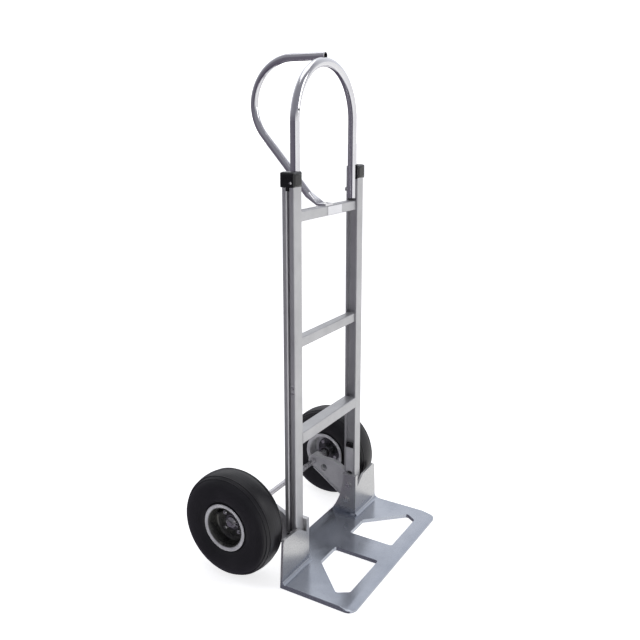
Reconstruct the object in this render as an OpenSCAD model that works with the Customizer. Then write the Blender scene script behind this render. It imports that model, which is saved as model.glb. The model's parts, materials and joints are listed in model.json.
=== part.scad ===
// Two-wheeled aluminium hand truck with a loop handle and a bow handle.
// Origin: on the floor, midway between the rails, under their front faces.
// +Z is up, the nose points to -Y, and left is +X for a user standing behind it.

/* [Wheels] */
// Outer diameter of each tyre
wheel_d = 254; // [210:1:305]
// Width of each tyre
tyre_w = 85; // [72:1:100]
// Gap between a rail's outer face and the tyre's inner side
tyre_gap = 26; // [18:1:45]
// Gap between the nose wings and the front of the tyres
wing_gap = 10.5; // [4:1:30]
// Diameter across the rim flanges
rim_d = 115; // [108:1:130]
// Thickness of the rim and hub flange sheet
rim_t = 2.4; // [1.5:0.1:3]
// Diameter of the axle rod
axle_d = 14; // [10:0.5:16]
// Outer diameter of each wheel bearing
bearing_d = 35; // [30:0.5:38]
// Width of each wheel bearing
bearing_w = 11; // [8:0.5:14]

/* [Frame] */
// Distance between the centres of the two rails
rail_spacing = 294; // [240:1:340]
// Width of a rail across the truck
rail_w = 32; // [28:1:36]
// Depth of a rail from front to back
rail_d = 33; // [32:1:42]
// Height of the rail tops above the floor
rail_top = 955; // [750:5:1150]
// Depth of the channel along each rail's inner side
channel_depth = 11.5; // [10:0.5:12.5]
// Thickness of the front and rear lips of that channel
lip_t = 4.8; // [3.5:0.1:6]
// Width of the groove along each rail's outer side
groove_w = 6; // [4:0.5:8]
// Depth of that groove
groove_depth = 9; // [4:0.5:11]
// Distance from the rail tops down to the top crossbar
top_bar_drop = 85; // [75:1:140]
// Height of the middle crossbar's top face
mid_bar_z = 577; // [420:1:640]
// Height of the lower crossbar's top face
low_bar_z = 345; // [300:1:400]
// Height of each crossbar's section
bar_h = 24; // [20:1:32]
// Wall of each crossbar tube
bar_t = 2.5; // [2:0.1:4]

/* [Handles] */
// Diameter of the loop handle's tube
loop_d = 22; // [19:0.5:23]
// Height of the loop handle above the rail tops
loop_rise = 254; // [200:1:340]
// Length of loop leg held below the rail tops
leg_grip = 79; // [50:1:84]
// Diameter of the bow handle's tube
bow_d = 19; // [16:0.5:22]
// Centreline radius of the bow handle's big bend
bow_r = 108; // [85:1:120]
// Distance of that bend's centre behind the rail fronts
bow_y = 110; // [90:1:130]
// Wall of both handle tubes
tube_t = 2; // [1.5:0.1:3]
// Wall of the plastic rail caps
cap_t = 4; // [3:0.5:6]
// Height of the plastic rail caps
cap_h = 36; // [26:1:42]

/* [Nose] */
// Width of the nose plate
nose_w = 478; // [400:1:560]
// Distance from the rails' front faces to the nose's front edge
nose_len = 195.5; // [170:1:260]
// Thickness of the nose plate
plate_t = 10; // [8:0.5:14]
// Height of the wings and webs above the floor
wing_h = 119; // [105:1:150]
// Thickness of the wings
wing_t = 6; // [5:0.5:9]
// Thickness of the webs beside the rails
web_t = 12; // [9:0.5:15]
// Distance that the heel reaches behind the rails' front faces
heel_len = 62; // [50:1:80]
// Width of the solid rib between the two openings
nose_rib = 76; // [50:1:100]
// Diameter of the bolts through webs, rails and brackets
nose_bolt_d = 8; // [6:1:10]

/* [Hidden] */
$fn = 48;

left = 1;
right = -1;
fit = 0.2;          // gap between pieces that slide together
bolt_fit = 0.3;     // radial gap between a bolt and its hole
run = 0.05;         // radial gap of a running fit
cut = 1;            // overrun of a cutting shape past a face

// Rails: u runs outwards from a rail's inner face, v backwards from its front face.
rail_x = rail_spacing / 2;
rail_in = rail_x - rail_w / 2;
rail_out = rail_x + rail_w / 2;
rail_foot = plate_t;
rail_mid = rail_d / 2;
rail_wall = 3;
rail_round = 5;
lip_round = 2;
groove_lip = 2;      // bevel along the groove's edges
floor_t = 3;
channel_w = rail_d - 2 * lip_t;
channel_x = rail_in + channel_depth;
lobe_w = (rail_d - groove_w) / 2;

// Crossbars sit in the rails' channels.
top_bar_z = rail_top - top_bar_drop;
low_bar_h = bar_h + 2 * bar_t - 2 * fit;
bar_mids = [top_bar_z - bar_h / 2, mid_bar_z - bar_h / 2, low_bar_z - low_bar_h / 2];
bar_d = channel_w - 2 * fit;
bar_half = channel_x;
bar_bolt_d = 6;
bar_bolt_in = 5.5;  // from a rail's inner face to the bolts in its rear lip

// Loop handle: its legs stand in the same channels.
leg_x = channel_x - loop_d / 2 - fit;
loop_top = rail_top + loop_rise;
loop_arc_z = loop_top - loop_d / 2 - leg_x;
leg_foot = rail_top - leg_grip;
leg_bolt_z = rail_top - 58;
leg_hole_d = 5;
leg_hole_z = rail_top + 136;

// Bow handle: from the loop's crown back, down and forward to the top crossbar.
bow_top = loop_top + 3;
bow_z = bow_top - bow_r;
tab_t = 5;
tab_w = 34;
tab_back = 31;
plate_w = 66;
plate_left = 58;
plate_gap = 2;
bow_end = [64, top_bar_z + 24];
bow_span = norm([bow_y, bow_z] - bow_end);
bow_slope = atan2(bow_z - bow_end[1], bow_y - bow_end[0]) - asin(bow_r / bow_span);
bow_line = sqrt(bow_span * bow_span - bow_r * bow_r);
tab_bolt_d = 8;

// Caps over the rail tops
cap_z = rail_top - cap_h + cap_t;
cap_side = cap_t / 2;
cap_round = 9;
cap_screw_z = rail_top - 20;

// Nose casting
nose_half = nose_w / 2;
web_out = rail_in;
web_in = web_out - web_t;
nose_corner = 22;
bevel_len = 20;
bevel_side = 2;
bevel_edge = 5;
wing_y = -3;
web_top = wing_h + 5;
web_sweep = 195;     // radius of the webs' hollow rear edges
wing_dip = 28;       // how far the wings dip in front of the rails
wing_lean = 7;
foot_boss_r = 4;
web_bolts = [[rail_mid - 3, 95], [rail_mid + 3.5, 50]];

// Wheels and axle
wheel_r = wheel_d / 2;
axle_z = wheel_r;
axle_y = wheel_r + wing_gap + wing_y;
wheel_x = rail_out + tyre_gap + tyre_w / 2;
axle_r = axle_d / 2;
rim_r = rim_d / 2;
seat_r = rim_r - 8.5;
rim_half = tyre_w * 0.4;
bead_r = seat_r + 0.3;
hub_in = 32;
hub_out = 6;
hub_t = 2.5;
hub_r = bearing_d / 2 + hub_t;
flange_r = 36;
rim_bolt_pcd = 56;
rim_bolt_d = 6;
rim_bolt_count = 4;
race_t = 2.6;
ball_r = (bearing_d / 2 - axle_r - 2 * race_t) / 2 + 0.4;
ball_gap = 0.25;
ball_pitch = (bearing_d / 2 + axle_r) / 2;
ball_count = 9;
shield_t = 0.8;
washer_t = 2.5;
washer_r = axle_r + 6;
cotter_r = 1.6;
cotter_x = wheel_x + hub_out + washer_t + cotter_r + 0.4;
axle_half = cotter_x + 7;
valve_r = 4;
valve_pitch = 38;
valve_angle = 57;
valve_x = 16;
valve_out = 12;

rivet_d = 4.5;
rivet_heights = [467, 453];

// Wheel brackets: u and v as (y, z) points of the side view
tongue_top = 198;
plug_h = 10.5;
tongue_hole = [rail_mid, wing_h + 0.5];
tongue_hole_d = 20;
tongue_in = rail_in + 1;
arm_in = rail_in + 9;
arm_t = 9;
boss_r = axle_r + 10;
boss_len = 25;
arm_back = rail_d + 1;
arm_hole = [axle_y - 32, axle_z - 13];
arm_hole_d = 20;

// Mirrors left-hand geometry onto the chosen side.
module on_side(side) {
    mirror([side == right ? 1 : 0, 0, 0]) children();
}

// Repeats left-hand geometry on both sides.
module both_sides() {
    children();
    mirror([1, 0, 0]) children();
}

// Rectangle from the origin with rounded corners
module rounded(w, d, r) {
    translate([r, 0]) square([w - 2 * r, d]);
    translate([0, r]) square([w, d - 2 * r]);
    for (x = [r, w - r], y = [r, d - r]) translate([x, y]) circle(r);
}

// Extrudes a (y, z) outline along X, starting at x.
module side_plate(x, t) {
    translate([x, 0, 0]) rotate([90, 0, 90]) linear_extrude(t) children();
}

// Solid of revolution about an X axis: the outline holds (radius, x) points.
module about_x() {
    rotate([0, 90, 0]) rotate_extrude($fn = 96) children();
}

// Plain ring about X from x0 to x1
module ring(r_in, r_out, x0, x1) {
    about_x() translate([r_in, x0]) square([r_out - r_in, x1 - x0]);
}

// Bolt along +Z whose head's underside is at z = 0
module hex_bolt(d, length) {
    translate([0, 0, -0.65 * d]) cylinder(d = 1.9 * d, h = 0.65 * d, $fn = 6);
    cylinder(d = d, h = length);
}

// Nut along +Z standing on z = 0
module hex_nut(d) {
    difference() {
        cylinder(d = 1.9 * d, h = 0.8 * d, $fn = 6);
        translate([0, 0, -cut]) cylinder(d = d, h = d + 2 * cut);
    }
}

// Washer along +Z standing on z = 0
module washer(d, t) {
    difference() {
        cylinder(d = 2.1 * d, h = t);
        translate([0, 0, -cut]) cylinder(d = d + 2 * bolt_fit, h = t + 2 * cut);
    }
}

// ---- Frame ----

// Section of a rail: a channel on the inner side and two hollow lobes outside
module rail_section() {
    chamber = [rail_w - channel_depth - floor_t - rail_wall, lobe_w - 2 * rail_wall];
    difference() {
        union() {
            rounded(rail_w, rail_d, rail_round);
            rounded(channel_depth + rail_round, rail_d, lip_round);
        }
        translate([-cut, lip_t]) square([channel_depth + cut, channel_w]);
        polygon([[rail_w - groove_depth, lobe_w], [rail_w - groove_lip, lobe_w],
            [rail_w + cut, lobe_w - groove_lip - cut], [rail_w + cut, lobe_w + groove_w + groove_lip + cut],
            [rail_w - groove_lip, lobe_w + groove_w], [rail_w - groove_depth, lobe_w + groove_w]]);
        for (v = [rail_wall, rail_d - rail_wall - chamber[1]])
            translate([channel_depth + floor_t, v]) square(chamber);
    }
}

module rail(side) {
    color("silver") on_side(side) difference() {
        translate([rail_in, 0, rail_foot]) linear_extrude(rail_top - rail_foot) rail_section();
        // Rear lip cut away at the foot, where the bracket's tongue comes through
        translate([rail_in - cut, rail_d - lip_t - cut, rail_foot - cut])
            cube([channel_depth + cut, lip_t + 2 * cut, wing_h - rail_foot]);
        for (p = web_bolts) translate([rail_in - cut, p[0], p[1]]) rotate([0, 90, 0])
            cylinder(r = nose_bolt_d / 2 + bolt_fit, h = rail_w + 2 * cut);
        for (z = concat(bar_mids, [leg_bolt_z]))
            translate([rail_in + bar_bolt_in, rail_d - lip_t - cut, z]) rotate([-90, 0, 0])
                cylinder(r = bar_bolt_d / 2 + bolt_fit, h = lip_t + 2 * cut);
        translate([rail_out - rail_wall - cut, lobe_w / 2, cap_screw_z]) rotate([0, 90, 0])
            cylinder(d = 3, h = rail_wall + 2 * cut);
        for (z = rivet_heights) translate([rail_out - rail_wall - cut, lobe_w / 2, z])
            rotate([0, 90, 0]) cylinder(d = rivet_d, h = rail_wall + 2 * cut);
    }
}

// Rectangular tube along X, centred on x = 0, whose section starts at (y, z)
module cross_tube(y, z, half, d, h) {
    side_plate(-half, 2 * half) translate([y, z]) difference() {
        rounded(d, h, 3);
        translate([bar_t, bar_t]) rounded(d - 2 * bar_t, h - 2 * bar_t, 1);
    }
}

module bar_bolt_holes(mid) {
    both_sides() translate([rail_in + bar_bolt_in, rail_mid, mid])
        rotate([-90, 0, 0]) cylinder(r = bar_bolt_d / 2 + bolt_fit, h = rail_d);
}

module crossbar(mid) {
    color("silver") difference() {
        cross_tube(lip_t + fit, mid - bar_h / 2, bar_half, bar_d, bar_h);
        bar_bolt_holes(mid);
        if (mid == bar_mids[0]) translate([0, rail_mid, top_bar_z - bar_t - cut])
            cylinder(r = tab_bolt_d / 2 + bolt_fit, h = bar_t + 2 * cut);
    }
}

// Larger tube between the rails, as deep as they are, with a tenon in each channel
module lower_crossbar() {
    tenon = 20;
    mid = bar_mids[2];
    color("silver") difference() {
        union() {
            cross_tube(0, low_bar_z - low_bar_h, rail_in - fit, rail_d, low_bar_h);
            both_sides() side_plate(rail_in - tenon, bar_half - rail_in + tenon)
                translate([lip_t + fit, mid - bar_h / 2]) difference() {
                    rounded(bar_d, bar_h, 3);
                    translate([bar_t, bar_t]) rounded(bar_d - 2 * bar_t, bar_h - 2 * bar_t, 1);
                }
        }
        bar_bolt_holes(mid);
    }
}

// Bolts from behind, through each rail's rear lip into a crossbar
module crossbar_bolts() {
    color("gainsboro") both_sides() for (mid = bar_mids)
        translate([rail_in + bar_bolt_in, rail_d, mid]) rotate([90, 0, 0])
            hex_bolt(bar_bolt_d, lip_t + fit + bar_t + 0.8 * bar_bolt_d + 2);
}

module crossbar_nuts() {
    color("gainsboro") both_sides() for (mid = bar_mids)
        translate([rail_in + bar_bolt_in, rail_d - lip_t - fit - bar_t, mid])
            rotate([90, 0, 0]) hex_nut(bar_bolt_d);
}

// ---- Handles ----

module tube_ring(d) {
    difference() {
        circle(d = d);
        circle(d = d - 2 * tube_t);
    }
}

module loop_handle() {
    color("silver") difference() {
        union() {
            translate([0, rail_mid, loop_arc_z]) rotate([90, 0, 0])
                rotate_extrude(angle = 180, $fn = 128) translate([leg_x, 0]) tube_ring(loop_d);
            both_sides() translate([leg_x, rail_mid, leg_foot])
                linear_extrude(loop_arc_z - leg_foot) tube_ring(loop_d);
        }
        both_sides() translate([rail_in + bar_bolt_in, rail_mid, leg_bolt_z])
            rotate([-90, 0, 0]) cylinder(r = bar_bolt_d / 2 + bolt_fit, h = loop_d);
        translate([-leg_x, rail_mid - loop_d, leg_hole_z]) rotate([-90, 0, 0])
            cylinder(d = leg_hole_d, h = loop_d);
    }
}

// Screws from behind, through each rail's rear lip into the wall of a loop leg
module loop_screws() {
    color("gainsboro") both_sides() translate([rail_in + bar_bolt_in, rail_d, leg_bolt_z])
        rotate([90, 0, 0]) hex_bolt(bar_bolt_d, lip_t + (channel_w - loop_d) / 2 + 3 * tube_t);
}

// Hair-thin bead over a seam between two lengths of the bow's tube
module seam() {
    translate([0, 0, -0.5]) linear_extrude(1) difference() {
        circle(d = bow_d + 0.1);
        circle(d = bow_d - 2 * tube_t - 0.1);
    }
}

// Straight tube, bend, straight tube, then a flattened end bolted to the crossbar
module bow_handle() {
    color("silver") difference() {
        union() {
            translate([0, bow_y, bow_top]) rotate([90, 0, 0]) {
                seam();
                difference() {
                    linear_extrude(bow_y - rail_mid) tube_ring(bow_d);
                    // Coped to fit the back of the loop's crown
                    translate([-bow_d, loop_top - loop_d / 2 - bow_top, bow_y - rail_mid])
                        rotate([0, 90, 0]) cylinder(d = loop_d, h = 2 * bow_d);
                }
            }
            translate([0, bow_y, bow_z]) rotate([90, 0, 90]) rotate([0, 0, bow_slope - 90]) {
                rotate_extrude(angle = 180 - bow_slope, $fn = 128)
                    translate([bow_r, 0]) tube_ring(bow_d);
                translate([bow_r, 0, 0]) rotate([90, 0, 0]) {
                    seam();
                    linear_extrude(bow_line) tube_ring(bow_d);
                }
            }
            hull() {
                translate([0, bow_end[0], bow_end[1]]) rotate([bow_slope - 90, 0, 0])
                    translate([0, 0, -1]) cylinder(d = bow_d + 0.1, h = 1.2, $fn = 32);
                translate([-tab_w / 2, tab_back - 1, top_bar_z]) cube([tab_w, 1, tab_t]);
            }
            translate([-tab_w / 2, lip_t + 1, top_bar_z])
                cube([tab_w, tab_back - lip_t - 1, tab_t]);
        }
        translate([0, rail_mid, top_bar_z - cut])
            cylinder(r = tab_bolt_d / 2 + bolt_fit, h = tab_t + 2 * cut);
    }
}

// Low-headed bolt through the flattened end into a nut inside the crossbar
module bow_bolt() {
    shank = tab_t + bar_t + 0.8 * tab_bolt_d + 1;
    color("gainsboro") translate([0, rail_mid, top_bar_z + tab_t]) {
        cylinder(r1 = tab_bolt_d, r2 = 0.6 * tab_bolt_d, h = 0.35 * tab_bolt_d);
        translate([0, 0, -shank]) cylinder(d = tab_bolt_d, h = shank);
    }
}

module bow_nut() {
    color("gainsboro") translate([0, rail_mid, top_bar_z - bar_t]) mirror([0, 0, 1])
        hex_nut(tab_bolt_d);
}

// Blank plate on the top crossbar's front face
module bar_plate() {
    color("white") translate([plate_left - plate_w, lip_t + fit - 1, top_bar_z - bar_h + plate_gap])
        cube([plate_w, 1, bar_h - 2 * plate_gap]);
}

// ---- Caps, screws and rivets ----

// Cap pushed over a rail's top, with a slot for the loop's leg
module rail_cap(side) {
    w = rail_w + cap_t + cap_side;
    d = rail_d + 2 * cap_t - 1;
    x0 = rail_in - cap_side;
    y0 = 1 - cap_t;
    top = rail_top + cap_t;
    color("#151515") on_side(side) difference() {
        union() {
            intersection() {
                translate([x0, y0, cap_z]) linear_extrude(top - cap_z) rounded(w, d, cap_round);
                side_plate(x0 - cut, w + 2 * cut) translate([y0, cap_z])
                    rounded(d, top - cap_z, cap_round);
                translate([x0 - 20, y0 + d + cut, cap_z]) rotate([90, 0, 0])
                    linear_extrude(d + 2 * cut) rounded(w + 20, top - cap_z, cap_round);
            }
            // Key that follows the rail's outer groove downwards
            translate([rail_out - groove_depth + 2, lobe_w + fit, cap_z - 6])
                cube([groove_depth + cap_t - 3, groove_w - 2 * fit, cap_h / 2]);
        }
        difference() {
            translate([rail_in, -fit, cap_z - cut - 6])
                cube([rail_w + fit, rail_d + 2 * fit, rail_top - cap_z + cut + 6]);
            translate([rail_out - groove_depth + 2, lobe_w + fit, cap_z - 20])
                cube([groove_depth + cap_t, groove_w - 2 * fit, cap_h + 20]);
        }
        // Open towards the channel and behind it, so that the rear lip stays bare
        translate([x0 - cut, lip_t, cap_z - cut])
            cube([channel_x - x0 + cut, d, top - cap_z + 2 * cut]);
        translate([rail_out - cut, lobe_w / 2, cap_screw_z]) rotate([0, 90, 0])
            cylinder(d = 3.6, h = cap_t + 2 * cut);
    }
}

module cap_screws() {
    color("white") both_sides() translate([rail_out + cap_t, lobe_w / 2, cap_screw_z])
        rotate([0, 90, 0]) {
            cylinder(r1 = 3.2, r2 = 2.2, h = 1.8);
            translate([0, 0, -cap_t - rail_wall - 2]) cylinder(d = 3, h = cap_t + rail_wall + 2);
        }
}

// Blind rivets in each rail's outer front lobe
module accessory_rivets() {
    color("gainsboro") both_sides() for (z = rivet_heights)
        translate([rail_out, lobe_w / 2, z]) rotate([0, 90, 0]) {
            translate([0, 0, -rail_wall - 2]) cylinder(d = rivet_d, h = rail_wall + 2);
            cylinder(r1 = rivet_d, r2 = rivet_d / 2, h = 1.6);
        }
}

// ---- Nose casting ----

// One opening, wider at the front, between the middle rib and the outer edge
module nose_opening() {
    r = 7;
    inner = nose_rib / 2 + r;
    rear = -44;
    front = -nose_len + 45;
    hull() {
        for (p = [[inner, rear], [nose_half - 131, rear], [nose_half - 49, front + 20],
                  [nose_half - 62, front], [inner, front]])
            translate([p[0], p[1], -cut]) cylinder(r = r, h = plate_t + 2 * cut, $fn = 24);
    }
}

// Plate with rounded front corners and a bevel that runs along the front and round them
module nose_deck() {
    difference() {
        hull() {
            linear_extrude(bevel_edge) translate([-nose_half, -nose_len])
                rounded(nose_w, 2 * nose_len, nose_corner);
            linear_extrude(plate_t) translate([bevel_side - nose_half, bevel_len - nose_len])
                rounded(nose_w - 2 * bevel_side, 2 * nose_len, nose_corner);
        }
        translate([-nose_w, wing_y, -cut]) cube([2 * nose_w, 4 * nose_len, plate_t + 2 * cut]);
    }
}

// Upright wing in front of a tyre and a rail, dipping over the rail, with a concave root
module nose_wing() {
    root = 9;
    front = wing_y - wing_t;
    corner = 10;
    translate([0, wing_y, 0]) rotate([90, 0, 0]) linear_extrude(wing_t) {
        polygon([[web_in, 0], [nose_half, 0], [nose_half - wing_lean, wing_h - corner],
            [nose_half - wing_lean - corner, wing_h], [rail_out, wing_h - 5],
            [web_out, wing_h - wing_dip], [web_in, wing_h - wing_dip]]);
        translate([nose_half - wing_lean - corner, wing_h - corner]) circle(corner);
    }
    difference() {
        translate([web_in, front - root, plate_t - cut])
            cube([nose_half - web_in, root + cut, root + cut]);
        translate([web_in - cut, front - root, plate_t + root]) rotate([0, 90, 0])
            cylinder(r = root, h = nose_w);
    }
    // Pad that the rail's front face stands against
    translate([web_in, wing_y - cut, 0])
        cube([rail_out - web_in, cut - wing_y, wing_h - wing_dip]);
}

// Upright web beside a rail: narrow at the top, sweeping back to the heel
module nose_web() {
    neck = rail_mid + 12;
    difference() {
        side_plate(web_in, web_t) difference() {
            translate([wing_y - wing_t, 0]) square([heel_len - wing_y + wing_t, web_top]);
            translate([neck + web_sweep, web_top]) circle(web_sweep, $fn = 192);
        }
        for (p = web_bolts) translate([web_in - cut, p[0], p[1]]) rotate([0, 90, 0])
            cylinder(r = nose_bolt_d / 2 + bolt_fit, h = web_t + 2 * cut);
    }
    // Bead along the web's foot
    translate([web_in, wing_y - wing_t, plate_t]) rotate([-90, 0, 0])
        cylinder(r = foot_boss_r, h = 13, $fn = 24);
}

// Floor between the webs, turned up along its rear edge
module nose_heel() {
    side_plate(-web_out, 2 * web_out) polygon([[wing_y - cut, 0], [heel_len, 0],
        [heel_len, plate_t + 5], [heel_len - 4, plate_t + 5], [heel_len - 20, plate_t],
        [wing_y - cut, plate_t]]);
}

module nose_plate() {
    color("#8a929e") difference() {
        union() {
            nose_deck();
            nose_heel();
            both_sides() {
                nose_wing();
                nose_web();
            }
        }
        both_sides() {
            nose_opening();
            // Shallow pocket in the floor behind the bead
            translate([web_in - 5, 5, plate_t - 2]) cube([5, 13, 4]);
        }
    }
}

// Flanged bolts through web, bracket tongue and rail, with nuts on the outside
module nose_bolts() {
    flange_t = 1.6;
    color("gainsboro") both_sides() for (p = web_bolts)
        translate([web_in - flange_t, p[0], p[1]]) rotate([0, 90, 0]) {
            hex_bolt(nose_bolt_d, rail_out - web_in + flange_t + washer_t + 0.8 * nose_bolt_d + 2);
            cylinder(d = 2.4 * nose_bolt_d, h = flange_t);
        }
}

module nose_washers() {
    color("gainsboro") both_sides() for (p = web_bolts)
        translate([rail_out, p[0], p[1]]) rotate([0, 90, 0]) washer(nose_bolt_d, washer_t);
}

module nose_nuts() {
    color("gainsboro") both_sides() for (p = web_bolts)
        translate([rail_out + washer_t, p[0], p[1]]) rotate([0, 90, 0]) hex_nut(nose_bolt_d);
}

// ---- Wheel brackets and axle ----

// Side view of the arm behind the rail, from its root to the axle
module arm_outline() {
    drop = axle_z - 27;
    polygon([[arm_back, 38], [arm_back + 12, 47], [axle_y + 0.53 * boss_r, axle_z - 0.85 * boss_r],
        [axle_y, axle_z], [axle_y, axle_z + boss_r], [arm_back + 38, axle_z + boss_r],
        [arm_back + 14, axle_z + 7], [arm_back, drop + 22]]);
    translate([axle_y, axle_z]) circle(boss_r);
}

module wheel_bracket(side) {
    tongue_t = channel_x - tongue_in;
    color("#b9bcc0") on_side(side) difference() {
        union() {
            // Tongue in the rail's channel, leaving it through the notch at the foot
            side_plate(tongue_in, tongue_t) difference() {
                translate([lip_t + fit, 30]) square([channel_w - 2 * fit, tongue_top - 30]);
                translate(tongue_hole) circle(d = tongue_hole_d);
            }
            translate([tongue_in, rail_d - lip_t - 3, 34])
                cube([tongue_t - fit, lip_t + 5, wing_h - 36]);
            side_plate(arm_in, arm_t) arm_outline();
            // Root that joins the arm to the tongue behind the rail
            translate([tongue_in, arm_back, 38]) cube([arm_in + arm_t - tongue_in, 8, 76]);
            // Raised rim around the arm
            side_plate(arm_in - 3, 4) difference() {
                arm_outline();
                translate([axle_y - 3, axle_z - 4]) circle(boss_r - 1);
                polygon([[arm_back + 1, 48], [arm_back + 16, 52],
                    [axle_y + 0.35 * boss_r, axle_z - 0.7 * boss_r], [axle_y - 4, axle_z + boss_r - 5],
                    [arm_back + 38, axle_z + boss_r - 5], [arm_back + 16, axle_z + 2],
                    [arm_back + 1, axle_z - 12]]);
            }
            translate([arm_in, axle_y, axle_z]) rotate([0, 90, 0]) cylinder(r = boss_r, h = boss_len);
        }
        translate([0, axle_y, axle_z]) rotate([0, 90, 0]) cylinder(r = axle_r + run, h = wheel_x);
        translate([0, arm_hole[0], arm_hole[1]]) rotate([0, 90, 0])
            cylinder(d = arm_hole_d, h = wheel_x);
        for (p = web_bolts) translate([0, p[0], p[1]]) rotate([0, 90, 0])
            cylinder(r = nose_bolt_d / 2 + bolt_fit, h = wheel_x);
    }
}

// Plastic plugs that stand on the tongues' tops in the channels
module tongue_plugs() {
    color("#181818") both_sides() side_plate(tongue_in, channel_x - tongue_in - fit)
        translate([lip_t + fit, tongue_top]) rounded(channel_w - 2 * fit, plug_h, 2);
}

module axle() {
    color("lightgray") difference() {
        translate([-axle_half, axle_y, axle_z]) rotate([0, 90, 0])
            cylinder(r = axle_r, h = 2 * axle_half);
        both_sides() translate([cotter_x, axle_y + wheel_r, axle_z]) rotate([90, 0, 0])
            cylinder(r = cotter_r + 0.2, h = wheel_d);
    }
}

// Tubes that keep each wheel off its bracket
module axle_spacers() {
    color("lightgray") both_sides() translate([0, axle_y, axle_z])
        ring(axle_r + run, axle_r + 4, arm_in + boss_len, wheel_x - hub_in);
}

module axle_washers() {
    color("gainsboro") both_sides() translate([0, axle_y, axle_z])
        ring(axle_r + run, washer_r, wheel_x + hub_out + 0.2, wheel_x + hub_out + washer_t);
}

// Split pins through the axle's ends: an eye behind and spread legs in front
module cotter_pins() {
    color("gainsboro") both_sides() translate([cotter_x, axle_y, axle_z]) rotate([-90, 0, 0]) {
        translate([0, 0, -axle_r - 3]) cylinder(r = cotter_r, h = 2 * axle_r + 5);
        translate([0, 0, axle_r + 4]) rotate([0, 90, 0]) rotate_extrude()
            translate([3, 0]) circle(r = cotter_r);
        for (turn = [155, 205]) translate([0, 0, -axle_r - 2]) rotate([turn, 0, 0])
            cylinder(r = 0.7 * cotter_r, h = 13);
    }
}

// ---- Wheels ----

// Places wheel geometry, built around X with +X outboard, on its axle.
module at_wheel(side) {
    on_side(side) translate([wheel_x, axle_y, axle_z]) children();
}

// Rounded tyre section in (radius, x), shrunk by inset on every side
function signed_power(v, e) = sign(v) * pow(abs(v), e);
function tyre_outline(inset) = let (mid = (wheel_r + bead_r) / 2, n = 2.4)
    [for (a = [0:7.5:352.5]) [
        mid + (wheel_r - mid - inset) * signed_power(cos(a), 2 / n),
        (tyre_w / 2 - inset) * signed_power(sin(a), 2 / n)]];

// Radius of the tyre's outside at a distance x from its middle plane
function tread_radius(x) = let (mid = (wheel_r + bead_r) / 2, n = 2.4)
    mid + (wheel_r - mid) * pow(1 - pow(abs(2 * x / tyre_w), n), 1 / n);

module tyre(side) {
    casing = 7;
    bead = 10;
    bead_h = 14;
    color("#1c1c1f") at_wheel(side) about_x() difference() {
        union() {
            polygon(tyre_outline(0));
            // Thin ribs around the shoulders of the tread
            for (x = [-0.36, -0.27, 0.27, 0.36] * tyre_w)
                translate([tread_radius(x) - 3, x - 1.1]) square([4, 2.2]);
            // Beads, chamfered to clear the curve at the foot of each rim flange
            for (flip = [0, 1]) mirror([0, flip]) polygon([[bead_r, rim_half - bead - 0.6],
                [bead_r, rim_half - 5], [bead_r + 2.5, rim_half - 0.9],
                [bead_r + bead_h, rim_half - 0.9], [bead_r + bead_h, rim_half - bead - 0.6]]);
        }
        polygon(tyre_outline(casing));
        translate([0, bead - rim_half + 0.6]) square([bead_r + 20, 2 * (rim_half - bead - 0.6)]);
    }
}

module inner_tube(side) {
    color("#2a2a2a") at_wheel(side) about_x() difference() {
        polygon(tyre_outline(7.3));
        polygon(tyre_outline(10));
    }
}

// Formed sheet: a path of (radius, x) points thickened to one side
function normal_at(path, i) =
    let (a = path[max(i - 1, 0)], b = path[min(i + 1, len(path) - 1)], d = b - a)
    [-d[1], d[0]] / norm(d);
function sheet(path, t) = concat(path,
    [for (i = [len(path) - 1:-1:0]) path[i] + t * normal_at(path, i)]);

// One pressed half of the rim: flat disc, bead seat and rolled flange
module rim_half_shape() {
    path = [[hub_r + 0.3, 0], [seat_r - 11, 0], [seat_r - 5, 2], [seat_r - 1.5, 6],
        [seat_r, 12], [seat_r, rim_half - 4], [seat_r + 1.5, rim_half - 0.5],
        [seat_r + 5, rim_half + 0.6], [rim_r - 2, rim_half + 1.2], [rim_r, rim_half + 0.4]];
    polygon(sheet(path, rim_t));
}

module rim_bolt_places() {
    for (i = [0:rim_bolt_count - 1]) rotate([45 + i * 360 / rim_bolt_count, 0, 0])
        translate([0, 0, rim_bolt_pcd / 2]) rotate([0, 90, 0]) children();
}

module rim_holes() {
    rim_bolt_places() translate([0, 0, -wheel_r])
        cylinder(r = rim_bolt_d / 2 + bolt_fit, h = 2 * wheel_r);
}

module outer_rim(side) {
    color("lightsteelblue") at_wheel(side) difference() {
        about_x() rim_half_shape();
        rim_holes();
        valve_root(0.4);
    }
}

module inner_rim(side) {
    color("lightsteelblue") at_wheel(side) difference() {
        mirror([1, 0, 0]) about_x() rim_half_shape();
        rim_holes();
    }
}

// Hub: a tube with a bearing seat at each end and a flange bolted to the rim
module hub(side) {
    color("lightgray") at_wheel(side) difference() {
        union() {
            ring(axle_r + 4, hub_r, -hub_in, hub_out);
            ring(hub_r - cut, flange_r, -2 * rim_t - 1, -rim_t);
        }
        ring(axle_r, bearing_d / 2, -hub_in - cut, -hub_in + bearing_w);
        ring(axle_r, bearing_d / 2, hub_out - bearing_w, hub_out + cut);
        rim_holes();
    }
}

module rim_bolts(side) {
    color("gainsboro") at_wheel(side) rim_bolt_places()
        translate([0, 0, -2 * rim_t - 1]) hex_bolt(rim_bolt_d, 3 * rim_t + 1 + 0.8 * rim_bolt_d + 3);
}

module rim_nuts(side) {
    color("gainsboro") at_wheel(side) rim_bolt_places()
        translate([0, 0, rim_t]) hex_nut(rim_bolt_d);
}

bearing_centres = [bearing_w / 2 - hub_in, hub_out - bearing_w / 2];

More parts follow.
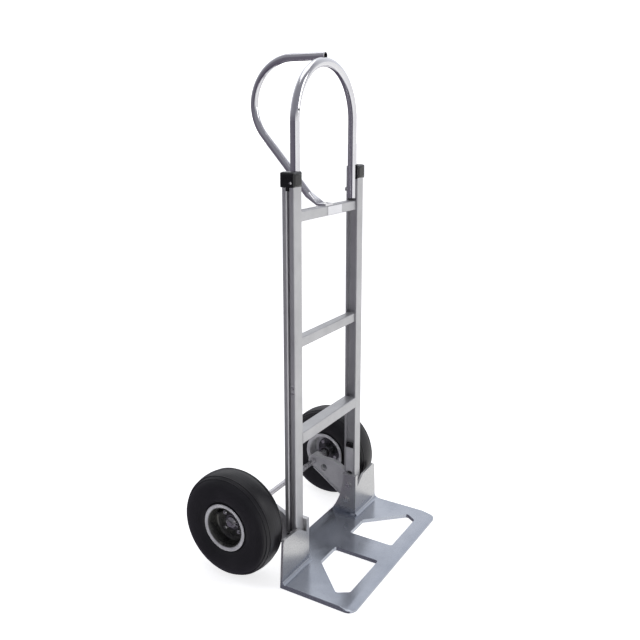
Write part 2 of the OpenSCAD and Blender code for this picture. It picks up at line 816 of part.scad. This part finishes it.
// Races: rings with a rolling groove that clears the balls
module race(r_in, r_out) {
    for (x = bearing_centres) about_x() difference() {
        translate([r_in, x - bearing_w / 2]) square([r_out - r_in, bearing_w]);
        translate([ball_pitch, x]) circle(r = ball_r + ball_gap);
    }
}

module outer_races(side) {
    color("silver") at_wheel(side) race(bearing_d / 2 - race_t, bearing_d / 2);
}

module inner_races(side) {
    color("silver") at_wheel(side) race(axle_r + run, axle_r + race_t);
}

module bearing_balls(side) {
    color("white") at_wheel(side) for (x = bearing_centres, i = [0:ball_count - 1])
        rotate([i * 360 / ball_count, 0, 0]) translate([x, 0, ball_pitch]) sphere(ball_r);
}

module bearing_shields(side) {
    color("#303030") at_wheel(side) for (x = bearing_centres, end = [-1, 1])
        translate([x + end * (bearing_w / 2 - 1.2), 0, 0])
            ring(axle_r + race_t + 0.3, bearing_d / 2 - race_t, -shield_t / 2, shield_t / 2);
}

// Radial root of the valve, through the rim's bead seat
module valve_root(grow) {
    rotate([valve_angle - 90, 0, 0]) translate([valve_x, 0, valve_pitch])
        cylinder(r = valve_r + grow, h = seat_r + 7.8 - valve_pitch);
}

module valve_stem(side) {
    color("#202020") at_wheel(side) {
        valve_root(0);
        rotate([valve_angle - 90, 0, 0]) translate([valve_x, 0, valve_pitch]) {
            sphere(valve_r);
            rotate([0, 90, 0]) cylinder(r = valve_r, h = valve_out);
        }
    }
}

module valve_cap(side) {
    color("#303030") at_wheel(side) rotate([valve_angle - 90, 0, 0])
        translate([valve_x + valve_out, 0, valve_pitch]) rotate([0, 90, 0]) {
            cylinder(r = valve_r - 0.4, h = 6);
            translate([0, 0, 6]) cylinder(r1 = valve_r - 0.4, r2 = valve_r - 1.6, h = 1.5);
        }
}

rail(left);  // left_rail
rail(right);  // right_rail
crossbar(bar_mids[0]);  // top_crossbar
crossbar(bar_mids[1]);  // middle_crossbar
lower_crossbar();
crossbar_bolts();
crossbar_nuts();
loop_handle();
loop_screws();
bow_handle();
bow_bolt();
bow_nut();
bar_plate();
rail_cap(left);  // left_rail_cap
rail_cap(right);  // right_rail_cap
cap_screws();
accessory_rivets();
nose_plate();
nose_bolts();
nose_washers();
nose_nuts();
wheel_bracket(left);  // left_wheel_bracket
wheel_bracket(right);  // right_wheel_bracket
tongue_plugs();
axle();
axle_spacers();
axle_washers();
cotter_pins();
tyre(left);  // left_tyre
inner_tube(left);  // left_inner_tube
outer_rim(left);  // left_outer_rim
inner_rim(left);  // left_inner_rim
hub(left);  // left_hub
rim_bolts(left);  // left_rim_bolts
rim_nuts(left);  // left_rim_nuts
outer_races(left);  // left_bearing_outer_races
inner_races(left);  // left_bearing_inner_races
bearing_balls(left);  // left_bearing_balls
bearing_shields(left);  // left_bearing_shields
valve_stem(left);  // left_valve_stem
valve_cap(left);  // left_valve_cap
tyre(right);  // right_tyre
inner_tube(right);  // right_inner_tube
outer_rim(right);  // right_outer_rim
inner_rim(right);  // right_inner_rim
hub(right);  // right_hub
rim_bolts(right);  // right_rim_bolts
rim_nuts(right);  // right_rim_nuts
outer_races(right);  // right_bearing_outer_races
inner_races(right);  // right_bearing_inner_races
bearing_balls(right);  // right_bearing_balls
bearing_shields(right);  // right_bearing_shields
valve_stem(right);  // right_valve_stem
valve_cap(right);  // right_valve_cap
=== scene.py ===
import json
import math

import bmesh
import bpy
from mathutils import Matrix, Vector


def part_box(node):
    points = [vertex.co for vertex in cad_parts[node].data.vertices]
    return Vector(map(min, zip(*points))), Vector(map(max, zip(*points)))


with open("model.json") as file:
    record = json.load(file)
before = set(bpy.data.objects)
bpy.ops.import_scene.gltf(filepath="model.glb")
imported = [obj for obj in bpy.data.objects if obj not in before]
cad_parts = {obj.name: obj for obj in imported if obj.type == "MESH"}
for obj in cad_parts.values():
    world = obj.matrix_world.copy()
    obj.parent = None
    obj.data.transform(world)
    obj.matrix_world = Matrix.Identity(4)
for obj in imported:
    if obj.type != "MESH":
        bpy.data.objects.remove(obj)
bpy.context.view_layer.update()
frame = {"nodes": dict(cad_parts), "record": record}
nodes = frame["nodes"]


# ---- Node helpers ----

def new_material(name, colour, metallic, roughness):
    """A material with a Principled shader whose plain values sit on its own sockets."""
    m = bpy.data.materials.new(name)
    m.use_nodes = True
    shader = m.node_tree.nodes["Principled BSDF"]
    shader.inputs["Base Color"].default_value = (*colour, 1)
    shader.inputs["Metallic"].default_value = metallic
    shader.inputs["Roughness"].default_value = roughness
    return m, m.node_tree, shader


def add(tree, kind, **settings):
    """Adds a node; settings whose names match inputs set those, the others set attributes."""
    n = tree.nodes.new(kind)
    for key, value in settings.items():
        name = key.replace("_", " ")
        if name in n.inputs:
            n.inputs[name].default_value = value
        else:
            setattr(n, key, value)
    return n


def coords(tree, scale=(1, 1, 1)):
    """Object coordinates in metres, scaled along each axis."""
    where = add(tree, "ShaderNodeTexCoord")
    mapping = add(tree, "ShaderNodeMapping")
    mapping.inputs["Scale"].default_value = scale
    tree.links.new(where.outputs["Object"], mapping.inputs["Vector"])
    return mapping.outputs["Vector"]


def noise(tree, vector, scale, detail=4.0, rough=0.55, distortion=0.0):
    n = add(tree, "ShaderNodeTexNoise", Scale=scale, Detail=detail, Roughness=rough,
            Distortion=distortion)
    tree.links.new(vector, n.inputs["Vector"])
    return n.outputs["Fac"]


def remap(tree, value, low, high, to_low, to_high):
    n = add(tree, "ShaderNodeMapRange", From_Min=low, From_Max=high, To_Min=to_low, To_Max=to_high)
    tree.links.new(value, n.inputs["Value"])
    return n.outputs["Result"]


def ramp(tree, value, stops):
    """Colour ramp from (position, colour) stops."""
    n = add(tree, "ShaderNodeValToRGB")
    elements = n.color_ramp.elements
    while len(elements) < len(stops):
        elements.new(0.5)
    for element, (position, colour) in zip(elements, stops):
        element.position = position
        element.color = (*colour, 1)
    tree.links.new(value, n.inputs["Fac"])
    return n.outputs["Color"]


def combine(tree, operation, a, b):
    n = add(tree, "ShaderNodeMath", operation=operation)
    for socket, value in zip(n.inputs, (a, b)):
        if isinstance(value, (int, float)):
            socket.default_value = value
        else:
            tree.links.new(value, socket)
    return n.outputs["Value"]


def bump(tree, shader, heights):
    """Chains bumps, given as (height, strength, distance in metres)."""
    last = None
    for height, strength, distance in heights:
        n = add(tree, "ShaderNodeBump", Strength=strength, Distance=distance)
        tree.links.new(height, n.inputs["Height"])
        if last:
            tree.links.new(last, n.inputs["Normal"])
        last = n.outputs["Normal"]
    tree.links.new(last, shader.inputs["Normal"])


def metal(name, dark, light, roughness, spread, grain=(1, 1, 1), grain_scale=400,
          grain_depth=0.00002, blotch_scale=9, speckle=0.0, metallic=1.0):
    """Bare or plated metal: cloudy colour, directional grain, smudged roughness.

    A speckle above 0 adds the pitted skin of a casting.
    """
    m, tree, shader = new_material(name, light, metallic, roughness)
    blotch = noise(tree, coords(tree), blotch_scale, 5, 0.6)
    fine = noise(tree, coords(tree, grain), grain_scale, 3, 0.7)
    smudge = noise(tree, coords(tree), blotch_scale * 5, 6, 0.65, 0.4)
    mixed = combine(tree, "ADD", combine(tree, "MULTIPLY", blotch, 0.62),
                    combine(tree, "MULTIPLY", fine, 0.38))
    tree.links.new(ramp(tree, mixed, [(0.32, dark), (0.62, light)]), shader.inputs["Base Color"])
    rough = combine(tree, "ADD",
                    remap(tree, smudge, 0.3, 0.7, roughness - spread, roughness + spread),
                    remap(tree, fine, 0.3, 0.7, -0.03, 0.03))
    tree.links.new(rough, shader.inputs["Roughness"])
    heights = [(fine, 0.35, grain_depth)]
    if speckle:
        cells = add(tree, "ShaderNodeTexVoronoi", Scale=520.0)
        tree.links.new(coords(tree), cells.inputs["Vector"])
        heights.append((cells.outputs["Distance"], speckle, 0.0004))
        heights.append((noise(tree, coords(tree), 260, 4, 0.7), speckle, 0.0006))
    bump(tree, shader, heights)
    return m


def black(name, colour, sheen_colour, roughness, grain_scale, grain_strength, dust=0.0, coat=0.0):
    """Black rubber or plastic with a fine grain and, for rubber, greyish dust."""
    m, tree, shader = new_material(name, colour, 0.0, roughness)
    cloud = noise(tree, coords(tree), 16, 6, 0.65)
    fine = noise(tree, coords(tree), grain_scale, 5, 0.7)
    mixed = combine(tree, "ADD", combine(tree, "MULTIPLY", cloud, 0.7),
                    combine(tree, "MULTIPLY", fine, 0.3))
    top = tuple(c + dust for c in sheen_colour)
    tree.links.new(ramp(tree, mixed, [(0.38, colour), (0.7, top)]), shader.inputs["Base Color"])
    tree.links.new(remap(tree, cloud, 0.3, 0.7, roughness - 0.07, roughness + 0.08),
                   shader.inputs["Roughness"])
    shader.inputs["Coat Weight"].default_value = coat
    shader.inputs["Coat Roughness"].default_value = 0.25
    bump(tree, shader, [(fine, grain_strength, 0.0002)])
    return m


def blend(tree, factor, a, b):
    """Mixes two colours, either of which may be a plain one."""
    n = add(tree, "ShaderNodeMix", data_type="RGBA")
    tree.links.new(factor, n.inputs["Factor"])
    for socket, value in ((n.inputs["A"], a), (n.inputs["B"], b)):
        if isinstance(value, tuple):
            socket.default_value = (*value, 1)
        else:
            tree.links.new(value, socket)
    return n.outputs["Result"]


deck_top = 0.013        # height at which the nose's deck starts to give way to its uprights
upright_foot = 0.030    # height at which only the uprights' look is left


def nose_metal():
    """Cast nose: glossy floor plate painted darker and bluish as a painted reflection, paler and
    more speckled uprights.
    """
    m, tree, shader = new_material("nose_cast_aluminium", (0.5, 0.52, 0.57), 0.9, 0.24)
    place = add(tree, "ShaderNodeSeparateXYZ")
    where = coords(tree)
    tree.links.new(where, place.inputs["Vector"])
    # mask that swaps the deck's painted reflection colour for the uprights' cast grey
    high = remap(tree, place.outputs["Z"], deck_top, upright_foot, 0.0, 1.0)
    cloud = noise(tree, where, 8, 5, 0.6)
    fine = noise(tree, where, 420, 4, 0.75)
    # painted reflection: the deck's darker bluish colour stands for what the glossy plate mirrors
    deck = ramp(tree, cloud, [(0.35, (0.42, 0.45, 0.51)), (0.65, (0.52, 0.55, 0.61))])
    upright = ramp(tree, fine, [(0.36, (0.50, 0.50, 0.51)), (0.6, (0.72, 0.72, 0.72))])
    tree.links.new(blend(tree, high, deck, upright), shader.inputs["Base Color"])
    smudge = noise(tree, where, 34, 6, 0.65, 0.4)
    tree.links.new(combine(tree, "ADD", remap(tree, smudge, 0.3, 0.7, 0.17, 0.26),
                           combine(tree, "MULTIPLY", high, 0.10)), shader.inputs["Roughness"])
    pits = noise(tree, where, 300, 3, 0.7)
    bump(tree, shader, [(pits, 0.25, 0.00004), (cloud, 0.1, 0.0006)])
    return m


tyre_low, tyre_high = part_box("left_tyre")
wheel_middle = (tyre_low[0] + tyre_high[0]) / 2
dish_radius = 0.05      # radius of the dish's painted shade inside the rim's bright ring
dish_edge = 0.0015      # half the width over which the painted shade fades into the bright ring
side_edge = 0.001       # half the width over which the inboard side's look turns to the outboard side's painted shade


def rim_metal():
    """Bright zinc rim whose outboard dish is painted dark inside its ring: painted shade of the
    deep dish.
    """
    m, tree, shader = new_material("rim_bright_zinc", (0.7, 0.7, 0.72), 0.5, 0.16)
    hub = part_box("left_hub")
    centre = [(low + high) / 2 for low, high in zip(*hub)]
    place = add(tree, "ShaderNodeSeparateXYZ")
    where = coords(tree)
    tree.links.new(where, place.inputs["Vector"])
    across = combine(tree, "SUBTRACT", place.outputs["Y"], centre[1])
    up = combine(tree, "SUBTRACT", place.outputs["Z"], centre[2])
    radius = combine(tree, "SQRT", combine(tree, "ADD", combine(tree, "MULTIPLY", across, across),
                                           combine(tree, "MULTIPLY", up, up)), 0)
    # mask of the painted shade: inside the ring and on the outboard side only
    inside = remap(tree, radius, dish_radius - dish_edge, dish_radius + dish_edge, 1.0, 0.0)
    outboard = remap(tree, combine(tree, "ABSOLUTE", place.outputs["X"], 0),
                     wheel_middle - side_edge, wheel_middle + side_edge, 0.0, 1.0)
    dish = combine(tree, "MULTIPLY", inside, outboard)
    cloud = noise(tree, where, 40, 5, 0.6)
    bright = ramp(tree, cloud, [(0.35, (0.66, 0.66, 0.67)), (0.65, (0.88, 0.88, 0.89))])
    # painted shade: dark zinc standing for the shade and dark reflection in the deep outboard dish
    dish_painted_shade = ramp(tree, cloud, [(0.35, (0.05, 0.05, 0.05)), (0.65, (0.11, 0.11, 0.10))])
    tree.links.new(blend(tree, dish, bright, dish_painted_shade), shader.inputs["Base Color"])
    tree.links.new(combine(tree, "ADD", remap(tree, cloud, 0.3, 0.7, 0.10, 0.18),
                           combine(tree, "MULTIPLY", dish, 0.14)), shader.inputs["Roughness"])
    bump(tree, shader, [(noise(tree, where, 500, 3, 0.7), 0.3, 0.00002)])
    return m


along_z = (60, 60, 1.2)     # grain of pieces drawn or extruded upwards
along_x = (1.2, 60, 60)     # grain of pieces that run across the truck
materials = {
    "rail_aluminium": metal("rail_extruded_aluminium", (0.46, 0.46, 0.47), (0.60, 0.60, 0.61),
                            0.36, 0.05, along_z, 30, 0.00003, metallic=0.75),
    "crossbar_aluminium": metal("crossbar_extruded_aluminium", (0.46, 0.46, 0.47),
                                (0.62, 0.62, 0.63), 0.40, 0.06, along_x, 30, 0.00003,
                                metallic=0.7),
    "handle_aluminium": metal("handle_drawn_aluminium", (0.74, 0.73, 0.77), (0.88, 0.88, 0.90),
                              0.16, 0.03, along_z, 22, 0.00001),
    "bright_plate": metal("plate_anodised_aluminium", (0.80, 0.80, 0.82), (0.90, 0.90, 0.92),
                          0.35, 0.05, along_x, 30, 0.00001, metallic=0.5),
    "black_plastic": black("cap_black_plastic", (0.003, 0.003, 0.0035), (0.006, 0.006, 0.007),
                           0.2, 700, 0.12, 0.0, 0.1),
    "cast_nose": nose_metal(),
    "cast_bracket": metal("bracket_cast_aluminium", (0.56, 0.56, 0.57), (0.74, 0.74, 0.75), 0.42,
                          0.08, (1, 1, 1), 350, 0.00006, 14, 0.3, metallic=0.6),
    "zinc_fasteners": metal("fastener_bright_zinc", (0.66, 0.66, 0.66), (0.86, 0.86, 0.85), 0.24,
                            0.08, (1, 1, 1), 900, 0.00003, 60),
    "axle_steel": metal("axle_plated_steel", (0.55, 0.54, 0.56), (0.78, 0.76, 0.78), 0.28, 0.08,
                        along_x, 30, 0.00003, 20),
    "tyre_rubber": black("tyre_black_rubber", (0.006, 0.006, 0.0075), (0.012, 0.011, 0.015),
                         0.42, 900, 0.2, 0.002),
    "tube_rubber": black("inner_tube_rubber", (0.012, 0.012, 0.012), (0.02, 0.02, 0.02),
                         0.6, 600, 0.2),
    "rim_zinc": rim_metal(),
    # painted shade: the hub's plated steel darkened to stand for the shade in the deep wheel dish
    "hub_steel": metal("hub_steel_painted_shade", (0.10, 0.10, 0.105), (0.20, 0.20, 0.21), 0.30, 0.07,
                       (1, 1, 1), 500, 0.00003, 40),
    "bearing_steel": metal("bearing_ground_steel", (0.22, 0.22, 0.23), (0.34, 0.34, 0.35), 0.22,
                           0.04, (1, 1, 1), 700, 0.00001, 80),
    "seal_plastic": black("seal_black_plastic", (0.006, 0.006, 0.006), (0.012, 0.012, 0.012), 0.4,
                          900, 0.2),
    "valve_rubber": black("valve_black_rubber", (0.006, 0.006, 0.006), (0.012, 0.012, 0.012),
                          0.45, 900, 0.2),
}
slot_of = {s["node"]: s["material_slot"] for s in frame["record"]["subparts"]}


# ---- CAD nodes: materials and softened edges ----

edge_radius = {     # metres
    "nose_plate": 0.0016, "left_rail": 0.0007, "right_rail": 0.0007,
    "top_crossbar": 0.0006, "middle_crossbar": 0.0006, "lower_crossbar": 0.0006,
    "left_rail_cap": 0.0012, "right_rail_cap": 0.0012,
    "left_wheel_bracket": 0.0012, "right_wheel_bracket": 0.0012,
}


def soften(o, radius):
    """Rounds a CAD node's hard edges with modifiers alone."""
    weld = o.modifiers.new("weld", "WELD")
    weld.merge_threshold = 0.00001
    flat = o.modifiers.new("flat_faces", "DECIMATE")
    flat.decimate_type = "DISSOLVE"
    flat.angle_limit = math.radians(0.5)
    bevel = o.modifiers.new("edges", "BEVEL")
    bevel.width = radius
    bevel.segments = 2
    bevel.limit_method = "ANGLE"
    bevel.angle_limit = math.radians(35)
    bevel.harden_normals = False
    normals = o.modifiers.new("normals", "WEIGHTED_NORMAL")
    normals.keep_sharp = False
    normals.weight = 90


for name, o in nodes.items():
    o.data.materials.clear()
    o.data.materials.append(materials[slot_of[name]])
    if name in edge_radius:
        soften(o, edge_radius[name])


# ---- Floor, light and camera ----

def plain(name, colour, roughness, glow):
    """Even, slightly glowing surface for the studio's own walls."""
    m, _, shader = new_material(name, colour, 0.0, roughness)
    shader.inputs["Emission Color"].default_value = (1, 1, 1, 1)
    shader.inputs["Emission Strength"].default_value = glow
    return m


studio_size = 30        # metres from the middle to the floor's edge
floor_gap = 0.0002      # keeps the floor clear of the tyres and the nose
wall_radius = 29
wall_height = 40

floor_mesh = bpy.data.meshes.new("floor")
b = bmesh.new()
bmesh.ops.create_grid(b, x_segments=1, y_segments=1, size=studio_size)
b.to_mesh(floor_mesh)
b.free()
floor = bpy.data.objects.new("floor", floor_mesh)
floor.location.z = -floor_gap
floor_mesh.materials.append(plain("floor_pale", (0.93, 0.93, 0.93), 0.9, 0.75))
floor.visible_glossy = False
bpy.context.scene.collection.objects.link(floor)

# White wall around the studio, seen directly but not in reflections
wall_mesh = bpy.data.meshes.new("wall")
b = bmesh.new()
bmesh.ops.create_cone(b, cap_ends=False, segments=64, radius1=wall_radius, radius2=wall_radius,
                      depth=wall_height)
b.to_mesh(wall_mesh)
b.free()
wall = bpy.data.objects.new("wall", wall_mesh)
wall_mesh.materials.append(plain("wall_pale", (0.9, 0.9, 0.9), 0.9, 1.1))
for rays in ("visible_glossy", "visible_diffuse", "visible_shadow"):
    setattr(wall, rays, False)
bpy.context.scene.collection.objects.link(wall)

# Studio surroundings, seen in the metal: bright on the nose's side, dark on the other, and
# above the horizon brighter towards the left and rear than towards the right and front
world_bright = (0.51, -0.86, 0.0)
world_beyond = (0.858, 0.5135, 0.0)
world = bpy.data.worlds.new("studio")
bpy.context.scene.world = world
world.use_nodes = True
sky = world.node_tree
direction = add(sky, "ShaderNodeTexCoord").outputs["Generated"]
toward = add(sky, "ShaderNodeVectorMath", operation="DOT_PRODUCT")
toward.inputs[1].default_value = world_bright
sky.links.new(direction, toward.inputs[0])
around = remap(sky, toward.outputs["Value"], -1.0, 1.0, 0.0, 1.0)
height = add(sky, "ShaderNodeSeparateXYZ")
sky.links.new(direction, height.inputs["Vector"])
sides = ramp(sky, around, [(0.0, (0.15, 0.14, 0.17)), (0.25, (0.13, 0.12, 0.15)),
                           (0.48, (0.07, 0.06, 0.09)), (0.55, (0.09, 0.08, 0.11)),
                           (0.60, (0.98, 0.98, 1.0)), (0.85, (0.95, 0.95, 0.95)),
                           (1.0, (0.9, 0.9, 0.9))])
upper = add(sky, "ShaderNodeMix", data_type="RGBA")
upper_start = 0.22      # height on the sky's unit sphere where only the upper colours are left
sky.links.new(remap(sky, height.outputs["Z"], 0.0, upper_start, 0.0, 1.0), upper.inputs["Factor"])
sky.links.new(sides, upper.inputs["A"])
beyond = add(sky, "ShaderNodeVectorMath", operation="DOT_PRODUCT")
beyond.inputs[1].default_value = world_beyond
sky.links.new(direction, beyond.inputs[0])
sky.links.new(ramp(sky, remap(sky, beyond.outputs["Value"], -1.0, 1.0, 0.0, 1.0),
                   [(0.0, (0.22, 0.22, 0.25)), (0.55, (0.30, 0.30, 0.33)),
                    (0.85, (0.86, 0.88, 0.93)), (1.0, (0.92, 0.93, 0.96))]), upper.inputs["B"])
sky.links.new(upper.outputs["Result"], sky.nodes["Background"].inputs["Color"])
sky.nodes["Background"].inputs["Strength"].default_value = 1.0

target = Vector((0, 0, 0.6))    # about half the truck's height


def softbox(name, place, size, power):
    """Rectangular light that faces the middle of the truck."""
    light = bpy.data.lights.new(name, "AREA")
    light.shape = "RECTANGLE"
    light.size, light.size_y = size
    light.energy = power
    o = bpy.data.objects.new(name, light)
    o.location = place
    o.rotation_mode = "QUATERNION"
    o.rotation_quaternion = (target - Vector(place)).to_track_quat("-Z", "Y")
    bpy.context.scene.collection.objects.link(o)


softbox("key", (1.2, -3.4, 2.4), (0.9, 2.0), 26)
softbox("top", (0.2, 0.3, 3.6), (2.2, 2.2), 16)

camera_data = bpy.data.cameras.new("camera")
camera = bpy.data.objects.new("camera", camera_data)
bpy.context.scene.collection.objects.link(camera)
bpy.context.scene.camera = camera
azimuth, elevation = math.radians(-59.1), math.radians(11.9)
camera_data.sensor_width = 36
camera_data.lens = 41.6
camera_data.shift_y = -0.074
camera.location = (-1.5095, -0.8719, 1.0756)
back = Vector((math.sin(azimuth) * math.cos(elevation),
               -math.cos(azimuth) * math.cos(elevation), math.sin(elevation)))
camera.rotation_mode = "QUATERNION"
camera.rotation_quaternion = (-back).to_track_quat("-Z", "Y")
camera_data.clip_start = 0.01
camera_data.dof.use_dof = False

bpy.context.scene.view_settings.view_transform = "Standard"
